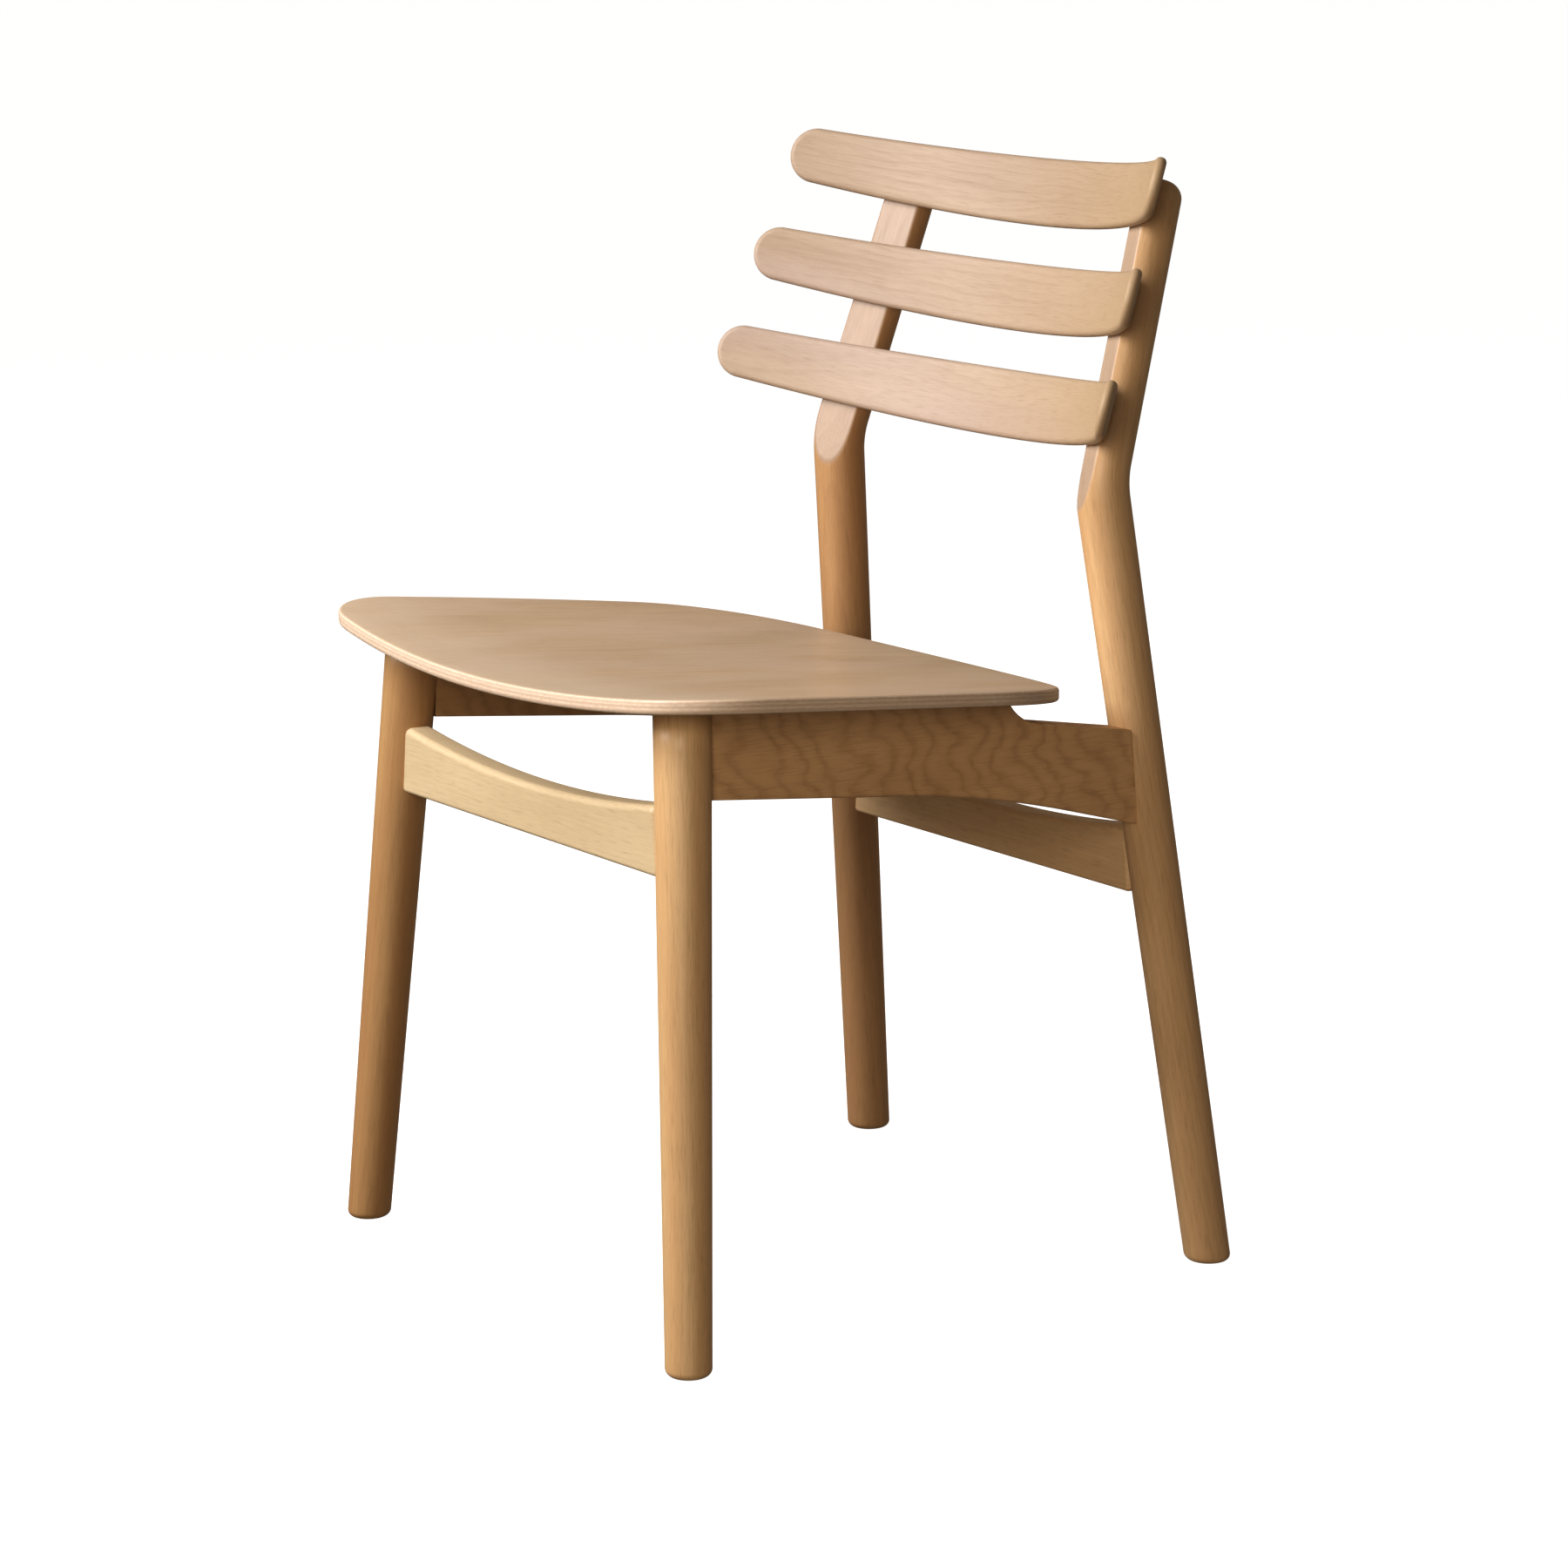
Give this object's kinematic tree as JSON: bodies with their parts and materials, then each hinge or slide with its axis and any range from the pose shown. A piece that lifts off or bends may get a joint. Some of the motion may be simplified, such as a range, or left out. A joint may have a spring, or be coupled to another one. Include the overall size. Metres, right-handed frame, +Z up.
{
  "type": "dining chair",
  "caption": "Wooden dining chair with round splayed legs, a dished plywood seat and curved ladder-back slats with round ends.",
  "frame": {"origin": "on the floor, below the middle of the chair's bounding box", "axes": "+X to the sitter's left, -Y the way the sitter faces, +Z up"},
  "size_m": [0.5136, 0.5108, 0.803],
  "materials": {
    "seat_plywood": "clear satin lacquer over a fine-grained face veneer",
    "frame_wood": "clear satin lacquer on turned hardwood",
    "rail_wood": "clear satin lacquer on sawn hardwood",
    "slat_wood": "clear satin lacquer on bent hardwood",
    "dowel_wood": "bare turned dowel",
    "plug_wood": "sanded flush and lacquered",
    "screw_steel": "zinc-plated",
    "glide_nylon": "matte moulded nylon"
  },
  "bodies": {
    "root": {"seat_shell": "seat_plywood", "front_leg_left": "frame_wood", "front_leg_right": "frame_wood", "rear_post_left": "frame_wood", "rear_post_right": "frame_wood", "side_rail_left": "rail_wood", "side_rail_right": "rail_wood", "front_stretcher": "rail_wood", "rear_stretcher": "rail_wood", "backrest_slat_top": "slat_wood", "backrest_slat_middle": "slat_wood", "backrest_slat_bottom": "slat_wood", "seat_cleat_left": "rail_wood", "seat_cleat_right": "rail_wood", "stretcher_dowels": "dowel_wood", "rail_dowels": "dowel_wood", "slat_screws": "screw_steel", "slat_screw_plugs": "plug_wood", "cleat_screws": "screw_steel", "seat_screws": "screw_steel", "foot_glides": "glide_nylon", "glide_nails": "screw_steel"}
  },
  "joints": []
}
